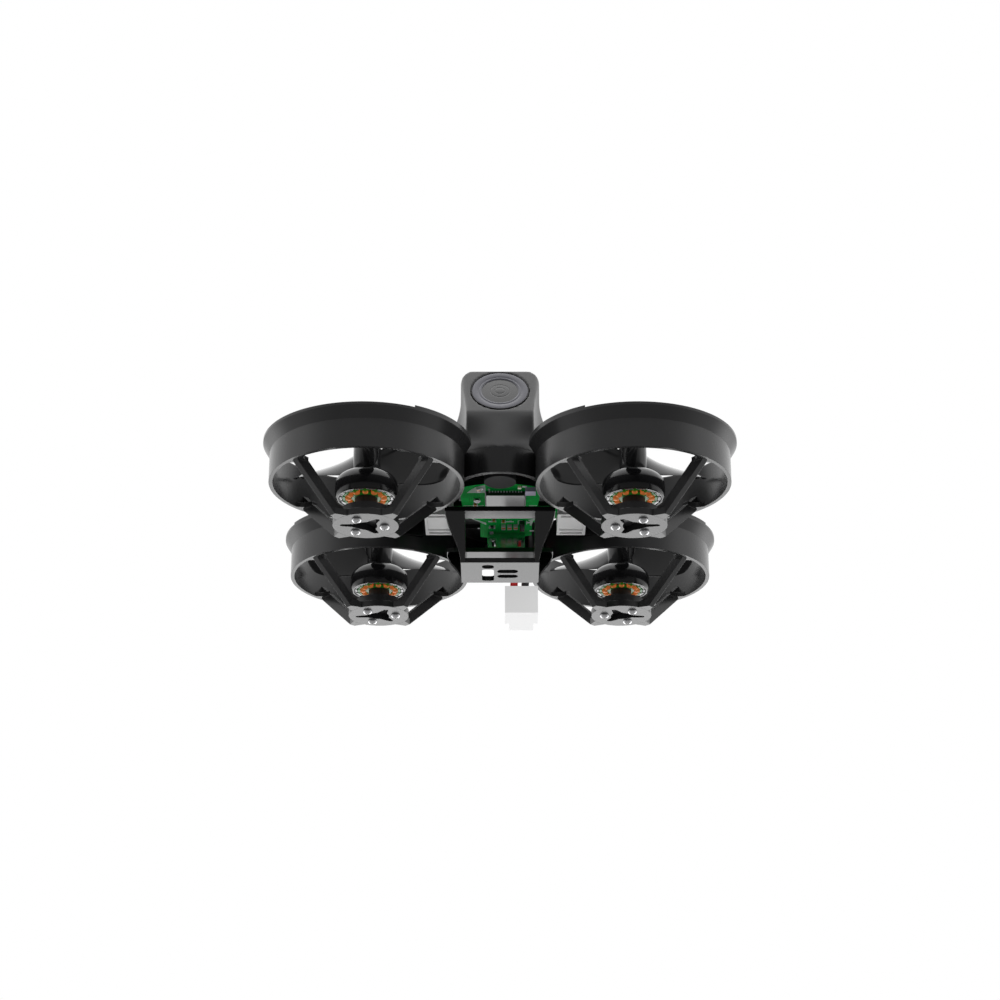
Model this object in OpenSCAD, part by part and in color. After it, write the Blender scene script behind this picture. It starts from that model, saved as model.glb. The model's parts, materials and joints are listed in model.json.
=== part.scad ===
// Ducted quadcopter with its flight controller board, seen as a bench assembly.
// Origin: middle of the machine on the plane it rests on.  +X right, -Y front, +Z up.  Millimetres.
// Heights in the modules count from the underside of the motor mounts, which stand on the screw heads.

/* [Layout] */
// Distance between motor axes, the same along X and Y
motor_pitch = 46.7; // [46.4:0.1:47.4]
// Underside of the beams above the motor mounts
beam_z = 7.6; // [7.4:0.1:7.8]
// Top of the ducts above the motor mounts
duct_top_z = 15.4; // [15.2:0.1:15.6]

/* [Ducts] */
// Outer radius of the duct wall
duct_wall_r = 17.1; // [16.9:0.1:17.3]
// Thickness of the duct wall
duct_wall_t = 0.7; // [0.5:0.05:0.8]
// Outer radius of the lip around the top
duct_lip_r = 18.3; // [18:0.1:18.6]
// Width of one strut, across its run
strut_t = 1.2; // [0.9:0.1:1.6]

/* [Motors] */
// Outer radius of the turning motor bell
bell_r = 5.6; // [5.55:0.05:5.7]
// Circle of the three motor screws
motor_screw_pcd = 6.6; // [6.4:0.1:6.8]
// Shaft diameter
shaft_d = 1.5; // [1.4:0.05:1.6]

/* [Propellers] */
// Propeller diameter
prop_d = 31; // [29:0.5:31.5]
// Advance per turn, which sets the blade twist
prop_pitch = 36; // [18:1:40]
// Hub diameter
prop_hub_d = 4.9; // [4.6:0.1:5.2]

/* [Battery cradle] */
// Clear width between the cradle walls
bay_w = 12.6; // [12.2:0.1:12.8]
// Thickness of the floor strap
strap_t = 0.9; // [0.8:0.1:1.2]

/* [Flight controller] */
// Underside of the circuit board above the motor mounts
board_z = 12.2; // [12.1:0.1:12.3]
// Circuit board thickness
board_t = 1.0; // [0.8:0.1:1.1]
// Radius of the round front and rear of the circuit board
board_r = 13.4; // [13.1:0.1:13.5]
// Distance of the four mounting posts from the middle
post_r = 18.03; // [18:0.01:18.1]

/* [Camera] */
// Upward tilt of the camera
camera_tilt = 26; // [24:1:28]
// Diameter of the front glass
lens_d = 10.5; // [10:0.1:10.6]

/* [Battery lead] */
// Diameter of each lead wire
wire_d = 1.45; // [1.2:0.05:1.5]
// Distance between the two wires at the plug
wire_pitch = 2.15; // [2:0.05:2.2]

/* [Hidden] */
$fn = 64;

// Colours
black_plastic = [0.12, 0.12, 0.125];
dark_rubber = [0.16, 0.16, 0.165];
steel = [0.72, 0.72, 0.74];
board_green = [0.02, 0.36, 0.12];
white_nylon = [0.9, 0.9, 0.89];
chip_black = [0.08, 0.08, 0.09];

// Corners as [x sign, y sign]; a propeller turns clockwise from above where the signs agree
FRONT_LEFT = [-1, -1];
FRONT_RIGHT = [1, -1];
REAR_LEFT = [-1, 1];
REAR_RIGHT = [1, 1];
CORNERS = [FRONT_LEFT, FRONT_RIGHT, REAR_LEFT, REAR_RIGHT];

half_pitch = motor_pitch / 2;
duct_bore_r = duct_wall_r - duct_wall_t;
duct_low_z = 7.66;
lip_root_z = 12.9;
lip_edge_z = 14.9;
mid = 0.01;

// Motor mount
mount_t = 1.2;
mount_r = 5.75;
ear_r = 7.6;
screw_r = 0.6;
head_r = 0.92;
head_h = 0.65;

// Motor heights
base_top_z = 2.9;
base_r = 4.4;
tube_r = 2.0;
bearing_r = 1.5;
tube_top_z = 8.2;
stator_low_z = 5.4;
stator_top_z = 7.4;
stator_r = 4.15;
stator_arms = 12;
arm_half_w = 0.22;
insulator_t = 0.3;
coil_low_z = 4.8;
coil_top_z = 8.0;
bell_low_z = 5.0;
bell_top_z = 9.9;
bell_wall = 0.4;
bell_wide_z = 6.9;
magnet_count = 14;
shaft_r = shaft_d / 2;
shaft_low_z = 2.0;
shaft_top_z = 15.3;

// Propeller
hub_r = prop_hub_d / 2;
hub_top_z = 15.0;
blade_z = 12.5;
blade_chord_max = 7.2;
blade_t = 0.5;
blade_count = 3;
blade_turn = 26;

// Frame
beam_t = 0.9;
front_beam = [-11.6, -7.9];
rear_beam = [8.9, 12.3];
cradle_wall = 0.8;
cradle_out_x = bay_w / 2 + cradle_wall;
cradle_top_x = 9.95;
cradle_ease_z = 8.4;
cradle_rib = 1.5;
strap_front_y = -5.5;
strap_rear_y = 5.0;
bridge_arc_r = 8.5;
bridge_arc_y = 14.5;
bridge_low_z = 10.4;
bridge_plate_t = 0.8;
bridge_wall = 0.9;
post_in_r = 0.55;
post_out_r = 1.0;
post_low_z = 10.95;
grommet_low_z = 10.45;
grommet_r = 2.85;

// Flight controller; its parts are laid out about this X
layout_x = 1.0;
lug_r = 2.4;
lug_hole_r = 1.5;
board_top_z = board_z + board_t;
socket_w = 5.3;
socket_len = 10.3;
socket_low_z = 9.2;
socket_mid_x = 12.15;
socket_mid_y = -0.8;
switch_x = -4.7;
switch_y = -0.9;
switch_h = 0.9;

// Canopy and camera
tower_x = 7.1;
tower_foot_y = -23.0;
crease_y = -21.9;
crease_z = 22.75;
tower_top_z = 32.85;
tower_brow_y = -17.0;
canopy_wall = 0.8;
canopy_low_z = duct_top_z;
flare_r = 7;
flare_z = 19.6;
corner_r = 2.6;
lens_mid = [0, (crease_y + tower_brow_y) / 2, (crease_z + tower_top_z) / 2];

// Battery lead: both wires lie on the board, leave over its rear edge and drop to the plug
wire_route = [[3.6, -4.0, 14.0], [3.6, -2.0, 14.0], [3.6, 1.0, 14.0], [3.6, 4.0, 14.0],
    [3.6, 7.0, 14.0], [3.6, 10.0, 14.0], [3.7, 13.0, 13.95], [3.8, 15.0, 13.3], [3.9, 16.2, 12.1],
    [4.0, 17.0, 10.6], [3.9, 17.7, 9.1], [3.6, 18.6, 7.9], [3.2, 19.8, 7.15], [2.85, 20.8, 6.6],
    [2.7, 21.5, 5.8], [2.7, 21.7, 4.75]];
wire_sides = 8;
plug_mid_x = wire_route[len(wire_route) - 1][0] + 1.4;
contact_depth = 6.5;
plug_front_y = 19.65;
plug_low_z = -head_h;
plug_w = 6.3;
plug_h = 5.4;
plug_len = 6.35;
nose_w = 4.7;
nose_h = 4.4;
nose_len = 3.9;

// ---------- helpers ----------

module at_corner(c) {
    translate([c[0] * half_pitch, c[1] * half_pitch, 0]) children();
}

module at_corners() {
    for (c = CORNERS) at_corner(c) children();
}

module tube(outer, inner, low, high) {
    translate([0, 0, low]) difference() {
        cylinder(r = outer, h = high - low);
        translate([0, 0, -1]) cylinder(r = inner, h = high - low + 2);
    }
}

module bar(x0, x1, y0, y1, z0, z1) {
    translate([x0, y0, z0]) cube([x1 - x0, y1 - y0, z1 - z0]);
}

// Slot through the strap with rounded corners
module round_slot(x0, x1, y0, y1, r) {
    corners = [[x1 - r, y1 - r], [x0 + r, y1 - r], [x0 + r, y0 + r], [x1 - r, y0 + r]];
    outline = [for (i = [0:3]) for (a = [0:15:90])
        corners[i] + r * [cos(90 * i + a), sin(90 * i + a)]];
    translate([0, 0, -1]) linear_extrude(strap_t + 2) polygon(outline);
}

// ---------- ducts ----------

// Ring with a flared lip; the lip stops where the ring meets the middle of the frame
module duct(c) {
    color(black_plastic) at_corner(c) difference() {
        union() {
            rotate_extrude($fn = 120) polygon([[duct_bore_r, duct_low_z], [duct_wall_r, duct_low_z],
                [duct_wall_r, lip_root_z], [duct_lip_r, lip_edge_z], [duct_lip_r, duct_top_z],
                [duct_bore_r, duct_top_z]]);
            raised_lip(c);
        }
        lip_relief(c);
    }
}

// Low second step on the lip beside the relief
module raised_lip(c) {
    lip_t = 0.35;
    start = 8.9;
    intersection() {
        tube(duct_lip_r, duct_wall_r - 0.3, duct_top_z - 0.1, duct_top_z + lip_t);
        union() {
            for (flip = [0, 1]) mirror([-flip * c[0] * c[1], flip, 0])
                scale([-c[0], -c[1], 1]) bar(start, 20, -20, 0, 0, 20);
        }
    }
}

// The quarter of the ring that faces the middle has no lip
module lip_relief(c) {
    scale([-c[0], -c[1], 1]) difference() {
        bar(-1, 20, -1, 20, 5, 20);
        translate([0, 0, 4]) cylinder(r = duct_wall_r, h = 20, $fn = 120);
    }
}

// Side view of a strut, distance from the motor axis against height
strut_side = [[mount_r, 0], [ear_r, 0], [16.0, duct_low_z - 0.5], [duct_bore_r, duct_low_z],
    [duct_bore_r, 10.2], [15.9, 9.7], [7.0, mount_t + 0.7], [mount_r, mount_t + 0.4]];

module strut() {
    foot = [[mount_r - 0.5, -1.5], [ear_r, -strut_t / 2], [ear_r, strut_t / 2], [mount_r - 0.5, 1.5]];
    intersection() {
        union() {
            rotate([90, 0, 0]) translate([0, 0, -strut_t / 2]) linear_extrude(strut_t) polygon(strut_side);
            linear_extrude(mount_t) polygon(foot);
            strut_gusset();
        }
        difference() {
            translate([0, 0, -1]) cylinder(r = duct_bore_r, h = 20, $fn = 120);
            translate([0, 0, -2]) cylinder(r = mount_r, h = 20, $fn = 96);
        }
    }
}

// Web that spreads the strut where it meets the ring
module strut_gusset() {
    flare = 2.4;
    foot = 13.9;
    translate([0, 0, duct_low_z]) linear_extrude(0.9) difference() {
        translate([foot, -strut_t / 2 - flare]) square([3, strut_t + 2 * flare]);
        for (s = [-1, 1]) translate([foot, s * (strut_t / 2 + flare)]) circle(r = flare, $fn = 48);
    }
}

module duct_struts() {
    color(black_plastic) at_corners() for (a = [45:90:315]) rotate([0, 0, a]) strut();
}

// Half outline of the star window: one long arm and a pair of claws
half_star = [[-4.0, 0.45], [-2.2, 0.65], [-0.9, 1.5], [0.2, 1.9], [1.0, 2.75], [1.7, 3.35],
    [2.35, 3.2], [2.3, 2.7], [1.8, 1.3], [2.0, 0.5]];

module mount_window() {
    mirrored = [for (i = [len(half_star) - 1:-1:0]) [half_star[i][0], -half_star[i][1]]];
    linear_extrude(mount_t * 3, center = true) {
        polygon(concat(half_star, mirrored));
        translate([half_star[0][0], 0]) circle(r = half_star[0][1], $fn = 24);
    }
}

// The plates are turned so that one screw points at the middle line of the machine
module turned_to_middle_line(c) {
    turn = c[1] < 0 ? 5 : -6.5;
    rotate([0, 0, c[0] < 0 ? turn : 180 - turn]) children();
}

module at_screws(c) {
    turned_to_middle_line(c) for (a = [0, 120, 240]) rotate([0, 0, a])
        translate([motor_screw_pcd / 2, 0, 0]) children();
}

module motor_mounts() {
    color(black_plastic) for (c = CORNERS) at_corner(c) difference() {
        cylinder(r = mount_r, h = mount_t, $fn = 96);
        turned_to_middle_line(c) mount_window();
        at_screws(c) translate([0, 0, -1]) cylinder(r = screw_r, h = mount_t + 2, $fn = 32);
    }
}

// ---------- frame ----------

// Everything inside the duct walls is cut away, so the frame meets the ducts face to face
module outside_ducts() {
    difference() {
        children();
        at_corners() translate([0, 0, -1]) cylinder(r = duct_wall_r, h = 60, $fn = 120);
    }
}

module cross_beam(y) {
    bar(-cradle_top_x, cradle_top_x, y[0], y[1], beam_z, beam_z + beam_t);
}

// Deck between two ducts with a curved skirt and one board post
module bridge(a) {
    plate_low = duct_top_z - bridge_plate_t;
    rotate([0, 0, a]) {
        translate([0, -bridge_arc_y, 0]) {
            intersection() {
                union() {
                    translate([0, 0, plate_low]) cylinder(r = bridge_arc_r, h = bridge_plate_t, $fn = 96);
                    tube(bridge_arc_r, bridge_arc_r - bridge_wall, bridge_low_z, duct_top_z);
                }
                bar(-9, 9, -9, 0, 0, 40);
            }
        }
        translate([0, -post_r, post_low_z]) cylinder(r = post_out_r, h = plate_low - post_low_z + mid);
    }
}

module post_bores() {
    for (a = [0:90:270]) rotate([0, 0, a]) translate([0, -post_r, post_low_z + 0.6])
        cylinder(r = post_in_r, h = 10, $fn = 32);
}

module frame_body() {
    color(black_plastic) difference() {
        outside_ducts() {
            cross_beam(front_beam);
            cross_beam(rear_beam);
            for (a = [0:90:270]) bridge(a);
        }
        post_bores();
    }
}

// Half width of the cradle wall at a height, eased from the strap out to the beams
function cradle_x(z) = cradle_out_x
    + (cradle_top_x - cradle_out_x) * (1 - cos(180 * min(z, cradle_ease_z) / cradle_ease_z)) / 2;

// Side view of the cradle, narrowed by t at each end
function cradle_side(t) = [[strap_front_y + t, 0], [strap_rear_y - t, 0],
    [rear_beam[1] - t, beam_z], [front_beam[0] + t, beam_z]];

module along_x(x0, x1) {
    translate([x0, 0, 0]) rotate([90, 0, 90]) linear_extrude(x1 - x0) children();
}

// Upright wall with a flared rib along each sloping end
module cradle_wall_solid(s) {
    steps = 12;
    profile = concat([[bay_w / 2, beam_z], [bay_w / 2, 0]],
        [for (i = [0:steps]) [cradle_x(beam_z * i / steps), beam_z * i / steps]]);
    scale([s, 1, 1]) difference() {
        intersection() {
            translate([0, 20, 0]) rotate([90, 0, 0]) linear_extrude(40) polygon(profile);
            along_x(0, 20) polygon(cradle_side(0));
        }
        along_x(cradle_out_x, 20) polygon(cradle_side(cradle_rib));
    }
}

module strap_windows() {
    round_slot(-3.3, -1.1, -4.2, -2.4, 0.85);
    round_slot(-3.3, -1.1, -1.9, 3.9, 0.6);
    round_slot(-0.5, 3.3, -1.8, -0.1, 0.8);
    round_slot(-0.5, 3.3, 0.8, 2.4, 0.8);
}

module battery_cradle() {
    color(black_plastic) outside_ducts() difference() {
        union() {
            for (s = [-1, 1]) cradle_wall_solid(s);
            bar(-bay_w / 2 - mid, bay_w / 2 + mid, strap_front_y, strap_rear_y, 0, strap_t);
        }
        strap_windows();
    }
}

// ---------- board posts and screws ----------

// Closed at the bottom; the right one is cut flat beside the motor socket
module board_grommets() {
    color(dark_rubber) difference() {
        for (a = [0:90:270]) rotate([0, 0, a]) translate([0, -post_r, 0]) {
            translate([0, 0, grommet_low_z]) cylinder(r = grommet_r, h = post_low_z - grommet_low_z);
            tube(grommet_r, post_out_r, post_low_z - mid, board_z);
            tube(lug_hole_r, post_out_r, board_z - mid, board_top_z + mid);
            tube(grommet_r - 0.5, post_out_r, board_top_z, duct_top_z - bridge_plate_t - 0.05);
        }
        bar(10, layout_x + socket_mid_x + socket_w / 2 + 0.1, -7, 6, 8, board_z);
    }
}

module canopy_screws() {
    tab_top_z = canopy_low_z + 1.0;
    color(steel) for (a = [0:90:270]) rotate([0, 0, a]) translate([0, -post_r, 0]) difference() {
        union() {
            translate([0, 0, post_low_z + 1])
                cylinder(r = post_in_r, h = tab_top_z - post_low_z - 1, $fn = 32);
            translate([0, 0, tab_top_z]) cylinder(r = 1.25, h = 0.8, $fn = 32);
        }
        for (t = [0, 90]) rotate([0, 0, t]) bar(-0.8, 0.8, -0.15, 0.15, tab_top_z + 0.4, tab_top_z + 1);
    }
}

// ---------- flight controller ----------

// Round at the front and rear, with an ear for each motor socket, a narrow rear and four lugs
module board_outline() {
    difference() {
        union() {
            intersection() {
                circle(r = board_r, $fn = 120);
                polygon([[-7.2, -14], [7.2, -14], [7.2, -6.5], [6.9, -2.6], [6.9, 4.6], [6.0, 5.5],
                    [6.0, 14], [-3.7, 14], [-3.7, 5.5], [-5.4, 3.6], [-6.9, 3.6], [-6.9, -2.6],
                    [-7.2, -6.5]]);
            }
            translate([layout_x - 14.4, -2.6]) square([28.8, 6.2]);
            for (a = [0:90:270]) rotate(a) {
                translate([-lug_r, -post_r]) square([2 * lug_r, post_r - board_r + 1.5]);
                translate([0, -post_r]) circle(r = lug_r, $fn = 48);
            }
        }
        for (a = [0:90:270]) rotate(a) translate([0, -post_r]) circle(r = lug_hole_r, $fn = 48);
    }
}

module flight_board() {
    color(board_green) difference() {
        translate([0, 0, board_z]) linear_extrude(board_t) board_outline();
        at_corners() translate([0, 0, 5]) cylinder(r = duct_wall_r + 0.15, h = 20, $fn = 120);
    }
}

// A part hangs from the underside of the board: middle, size and height
module under(x, y, w, d, h) {
    bar(x - w / 2, x + w / 2, y - d / 2, y + d / 2, board_z - h, board_z);
}

// A part stands on the top of the board
module over(x, y, w, d, h) {
    bar(x - w / 2, x + w / 2, y - d / 2, y + d / 2, board_top_z, board_top_z + h);
}

module processor_chip() {
    color(chip_black) under(layout_x, -6.3, 7.0, 7.0, 0.9);
}

module gyro_chip() {
    color(chip_black) over(0, 0, 3, 2.5, 0.85);
}

// Twelve power transistors, in pairs beside the battery leads
module speed_controller_mosfets() {
    color(chip_black) for (x = [-8.7, -5.9, 9.9, 12.6]) for (y = [-1.3, 0.5, 2.3])
        over(x, y, 2.3, 1.6, 0.8);
}

module regulator_chip() {
    color(chip_black) under(layout_x + 3.15, 6.2, 0.9, 3.4, 0.9);
}

// Middles of the small parts from the layout line; those along X, then those along Y
capacitors_across = [[-2.15, 3.9], [-0.35, 4.4], [-5.5, -3.9]];
capacitors_along = [[-0.35, 7.2], [0.8, 7.2], [1.95, 7.2], [-4.9, -11.2]];
resistors_across = [[-2.5, 7.3], [-5.2, -6.0]];
resistors_along = [[-4.2, -11.4], [2.5, 0.5], [3.5, 0.5], [4.5, 0.5]];

module ceramic_capacitors() {
    color([0.72, 0.5, 0.3]) {
        for (p = capacitors_across) under(layout_x + p[0], p[1], 0.9, 0.5, 0.5);
        for (p = capacitors_along) under(layout_x + p[0], p[1], 0.8, 1.6, 0.55);
    }
}

module chip_resistors() {
    color(chip_black) {
        for (p = resistors_across) under(layout_x + p[0], p[1], 1.2, 0.7, 0.4);
        for (p = resistors_along) under(layout_x + p[0], p[1], 0.5, 1.0, 0.35);
    }
}

module crystal_can() {
    color(steel) under(layout_x + 4.5, -10.8, 1.9, 1.9, 0.9);
}

module status_led() {
    color([0.95, 0.95, 0.85]) under(layout_x + 2.5, -12.0, 0.6, 0.8, 0.4);
}

usb_w = 7.0;
usb_front_y = 10.7;
usb_rear_y = 14.9;
usb_low_z = 9.1;
usb_wall = 0.3;

module usb_shell() {
    x0 = layout_x + 0.2 - usb_w / 2;
    color(steel) difference() {
        bar(x0, x0 + usb_w, usb_front_y, usb_rear_y, usb_low_z, board_z);
        bar(x0 + usb_wall, x0 + usb_w - usb_wall, usb_front_y + usb_wall, usb_rear_y + 1,
            usb_low_z + usb_wall, board_z - usb_wall);
        for (s = [-1, 1]) bar(x0 + usb_w / 2 + s * 2.4 - 0.35, x0 + usb_w / 2 + s * 2.4 + 0.35,
            usb_front_y - 1, usb_front_y + usb_wall + 0.1, usb_low_z + 0.3, usb_low_z + 1.5);
    }
}

module usb_tongue() {
    x0 = layout_x + 0.2 - usb_w / 2;
    color(chip_black) bar(x0 + 1.2, x0 + usb_w - 1.2, usb_front_y + usb_wall, usb_rear_y - 0.6,
        usb_low_z + 1.3, usb_low_z + 2.0);
}

// White block with two three-way sockets that open outwards, and slots in its lower face
module motor_socket(s) {
    in_x = layout_x + s * (socket_mid_x - socket_w / 2);
    color(white_nylon) difference() {
        bar(min(in_x, in_x + s * socket_w), max(in_x, in_x + s * socket_w),
            socket_mid_y - socket_len / 2, socket_mid_y + socket_len / 2, socket_low_z, board_z);
        for (k = [-1, 1]) socket_cavity(s, in_x, socket_mid_y + k * socket_len / 4);
        for (k = [-1, 1]) lower_slot(in_x + s * socket_w / 2, socket_mid_y + k * (socket_len / 2 - 1.1));
        translate([in_x + s * socket_w / 2, socket_mid_y, socket_low_z]) cube([4.3, 5.6, 0.3], center = true);
    }
}

module socket_cavity(s, in_x, y) {
    depth0 = in_x + s * 1.2;
    depth1 = in_x + s * (socket_w + 1);
    bar(min(depth0, depth1), max(depth0, depth1), y - 2.1, y + 2.1, socket_low_z + 0.9, board_z - 0.5);
}

module lower_slot(x, y) {
    translate([x, y, socket_low_z]) cube([4.0, 0.9, 0.9], center = true);
}

module motor_socket_left() {
    motor_socket(-1);
}

module motor_socket_right() {
    motor_socket(1);
}

module motor_socket_pins() {
    color(steel) for (s = [-1, 1]) for (k = [-1, 1]) for (i = [-1:1]) {
        x0 = layout_x + s * (socket_mid_x - socket_w / 2 + 1.2);
        x1 = x0 + s * 3.2;
        y = socket_mid_y + k * socket_len / 4 + i * 1.25;
        bar(min(x0, x1), max(x0, x1), y - 0.15, y + 0.15, 10.75, 11.05);
    }
}

module boot_switch_housing() {
    color(steel) difference() {
        under(switch_x, switch_y, 3.0, 2.6, switch_h);
        translate([switch_x, switch_y, board_z - switch_h - 1]) cylinder(r = 0.65, h = 1.6, $fn = 32);
    }
}

// Cap of the boot switch; it slides up into the housing when it is pressed
module boot_button() {
    color(chip_black) translate([switch_x, switch_y, board_z - switch_h - 0.4])
        cylinder(r = 0.6, h = 0.7, $fn = 32);
}

// ---------- canopy and camera ----------

// Side view of the canopy, as [y, z], shrunk by t
function canopy_side(t) = [[tower_foot_y + t, canopy_low_z - (t > 0 ? 1 : 0)], [crease_y + t, crease_z],
    [tower_brow_y + t, tower_top_z - t * 0.6], [-13.5, tower_top_z - t], [-9.5, 31.6 - t],
    [-5.0, 27.6 - t], [1.0, 22.6 - t], [7.0, 19.6 - t], [14.0, 17.6 - t], [19.8 - t, 17.0 - t],
    [19.8 - t, canopy_low_z - (t > 0 ? 1 : 0)]];

// Front view: tower with rounded top corners, flaring out to the deck
module canopy_front(t) {
    difference() {
        union() {
            translate([-tower_x + t, canopy_low_z - 1])
                square([2 * (tower_x - t), tower_top_z - canopy_low_z + 2]);
            translate([-tower_x - flare_r, canopy_low_z - 1])
                square([2 * (tower_x + flare_r), flare_z - canopy_low_z + 1 + flare_r - t]);
        }
        for (s = [-1, 1]) translate([s * (tower_x + flare_r - t), flare_z + flare_r - t])
            circle(r = flare_r, $fn = 96);
        for (s = [-1, 1]) canopy_corner(s, t);
    }
}

module canopy_corner(s, t) {
    r = corner_r - t * 0.5;
    translate([s * (tower_x - t - r), tower_top_z - t - r]) difference() {
        translate([s > 0 ? 0 : -5, 0]) square([5, 5]);
        circle(r = r, $fn = 48);
    }
}

// Plan: the gap between the four ducts, with a round nose
module canopy_plan(t) {
    difference() {
        union() {
            translate([0, -12.4]) circle(r = 10.6 - t, $fn = 96);
            translate([-14 + t, -12.4]) square([28 - 2 * t, 32.4 - t]);
        }
        for (c = CORNERS) translate([c[0] * half_pitch, c[1] * half_pitch])
            circle(r = duct_wall_r + 0.3 + t, $fn = 120);
    }
}

module canopy_solid(t) {
    intersection() {
        translate([-20, 0, 0]) rotate([90, 0, 90]) linear_extrude(40) polygon(canopy_side(t));
        translate([0, 40, 0]) rotate([90, 0, 0]) linear_extrude(80) canopy_front(t);
        translate([0, 0, canopy_low_z - 2]) linear_extrude(40) canopy_plan(t);
    }
}

// Tabs that the four screws hold down, one over each bridge
module canopy_tabs() {
    for (a = [0:90:270]) rotate([0, 0, a]) intersection() {
        translate([0, -bridge_arc_y, canopy_low_z]) cylinder(r = 8.0, h = 1.0, $fn = 96);
        bar(-9, 9, -22.4, -10, 0, 40);
    }
}

module along_camera() {
    translate(lens_mid) rotate([90 - camera_tilt, 0, 0]) children();
}

module canopy() {
    color(black_plastic) difference() {
        union() {
            difference() {
                canopy_solid(0);
                canopy_solid(canopy_wall);
            }
            difference() {
                canopy_tabs();
                at_corners() cylinder(r = duct_wall_r + 0.3, h = 40, $fn = 120);
                bar(-6, 6, -12, 12, 0, 40);
            }
        }
        along_camera() translate([0, 0, -3]) cylinder(r = lens_d / 2 + 0.05, h = 10, $fn = 96);
        for (a = [0:90:270]) rotate([0, 0, a]) translate([0, -post_r, canopy_low_z - 1]) {
            cylinder(r = post_in_r + 0.1, h = 10, $fn = 32);
            translate([0, 0, 2]) cylinder(r = 1.5, h = a == 0 ? 3 : 10, $fn = 32);
        }
    }
}

module lens_bezel() {
    color(chip_black) along_camera() tube(lens_d / 2, lens_d / 2 - 0.25, -0.9, 0.05, $fn = 96);
}

// Shallow dome, seated in the bezel
module lens_glass() {
    r = lens_d / 2 - 0.25;
    steps = 8;
    crown = 0.25;
    dome = [for (i = [steps - 1:-1:0]) [r * i / steps, crown * (1 - pow(i / steps, 2)) - 0.05]];
    color([0.45, 0.46, 0.5]) along_camera() rotate_extrude($fn = 96)
        polygon(concat([[0, -0.9], [r, -0.9], [r, -0.05]], dome));
}

module lens_barrel() {
    color(chip_black) along_camera() difference() {
        translate([0, 0, -5.9]) cylinder(r = 4.9, h = 5.0, $fn = 96);
        translate([0, 0, -1.9]) cylinder(r = 4.2, h = 1.2, $fn = 96);
    }
}

module camera_body() {
    color(chip_black) along_camera() translate([0, 0, -8.4]) linear_extrude(2.5) square(10.4, center = true);
}

module camera_board() {
    color(board_green) along_camera() translate([0, 0, -9.4]) linear_extrude(1.0) square(10.8, center = true);
}

// ---------- motors ----------

module motor_bases() {
    color(dark_rubber) at_corners() difference() {
        union() {
            translate([0, 0, mount_t]) cylinder(r = base_r, h = base_top_z - mount_t, $fn = 64);
            translate([0, 0, base_top_z - mid])
                cylinder(r = tube_r, h = tube_top_z - base_top_z + mid, $fn = 64);
        }
        translate([0, 0, mount_t + 0.4]) cylinder(r = bearing_r, h = 20, $fn = 48);
    }
}

module motor_bearings() {
    color(steel) at_corners() {
        tube(bearing_r, shaft_r + 0.05, mount_t + 1.2, mount_t + 2.4);
        tube(bearing_r, shaft_r + 0.05, tube_top_z - 1.3, tube_top_z - 0.1);
    }
}

module stator_shape() {
    difference() {
        union() {
            circle(r = 2.5, $fn = 48);
            for (i = [0:stator_arms - 1]) rotate(i * 360 / stator_arms) {
                translate([0, -arm_half_w]) square([3.9, 2 * arm_half_w]);
                intersection() {
                    difference() {
                        circle(r = stator_r, $fn = 96);
                        circle(r = 3.75, $fn = 96);
                    }
                    translate([3, -0.8]) square([2, 1.6]);
                }
            }
        }
        circle(r = tube_r, $fn = 64);
    }
}

module motor_stators() {
    color([0.35, 0.35, 0.37]) at_corners() translate([0, 0, stator_low_z])
        linear_extrude(stator_top_z - stator_low_z) stator_shape();
}

module stator_insulators() {
    color([0.1, 0.55, 0.1]) at_corners() for (z = [stator_low_z - insulator_t, stator_top_z])
        translate([0, 0, z]) linear_extrude(insulator_t) stator_shape();
}

module stator_windings() {
    color([0.85, 0.42, 0.2]) at_corners() for (i = [0:stator_arms - 1])
        rotate([0, 0, i * 360 / stator_arms]) difference() {
            bar(2.65, 3.65, -0.5, 0.5, coil_low_z, coil_top_z);
            bar(2, 4, -arm_half_w - mid, arm_half_w + mid, stator_low_z - insulator_t - mid,
                stator_top_z + insulator_t + mid);
        }
}

// Cheese-head screws; the whole machine stands on their heads
module motor_screws() {
    color(steel) for (c = CORNERS) at_corner(c) at_screws(c) difference() {
        union() {
            translate([0, 0, -head_h]) cylinder(r = head_r, h = head_h, $fn = 32);
            cylinder(r = screw_r, h = mount_t, $fn = 32);
        }
        for (t = [0, 90]) rotate([0, 0, t]) bar(-0.5, 0.5, -0.1, 0.1, -head_h - 1, -head_h + 0.3);
    }
}

// Outer radius of the bell at a height: widest at the magnets' top, rounded in to a flat crown
function bell_x(z) = bell_r * pow(1 - pow(abs(z - bell_wide_z) / (z > bell_wide_z ? 3.25 : 4), 2.6), 1 / 2.6);

module bell(c) {
    ceiling = bell_top_z - 0.7;
    outer = [for (z = [bell_low_z:0.35:bell_top_z - 0.3]) [bell_x(z), z]];
    inner = [for (z = [ceiling - 0.01:-0.4:bell_low_z]) [bell_x(z) - bell_wall, z]];
    color([0.06, 0.06, 0.065]) at_corner(c) rotate_extrude($fn = 96)
        polygon(concat(outer, [[bell_x(bell_top_z), bell_top_z], [shaft_r, bell_top_z],
            [shaft_r, ceiling]], inner, [[bell_x(bell_low_z) - bell_wall, bell_low_z]]));
}

module magnets(c) {
    color([0.75, 0.75, 0.77]) at_corner(c) for (i = [0:magnet_count - 1]) rotate(i * 360 / magnet_count)
        bar(4.25, 4.7, -0.75, 0.75, bell_low_z + 0.1, bell_low_z + 1.3);
}

module shaft(c) {
    color(steel) at_corner(c) translate([0, 0, shaft_low_z])
        cylinder(r = shaft_r, h = shaft_top_z - shaft_low_z, $fn = 48);
}

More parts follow.
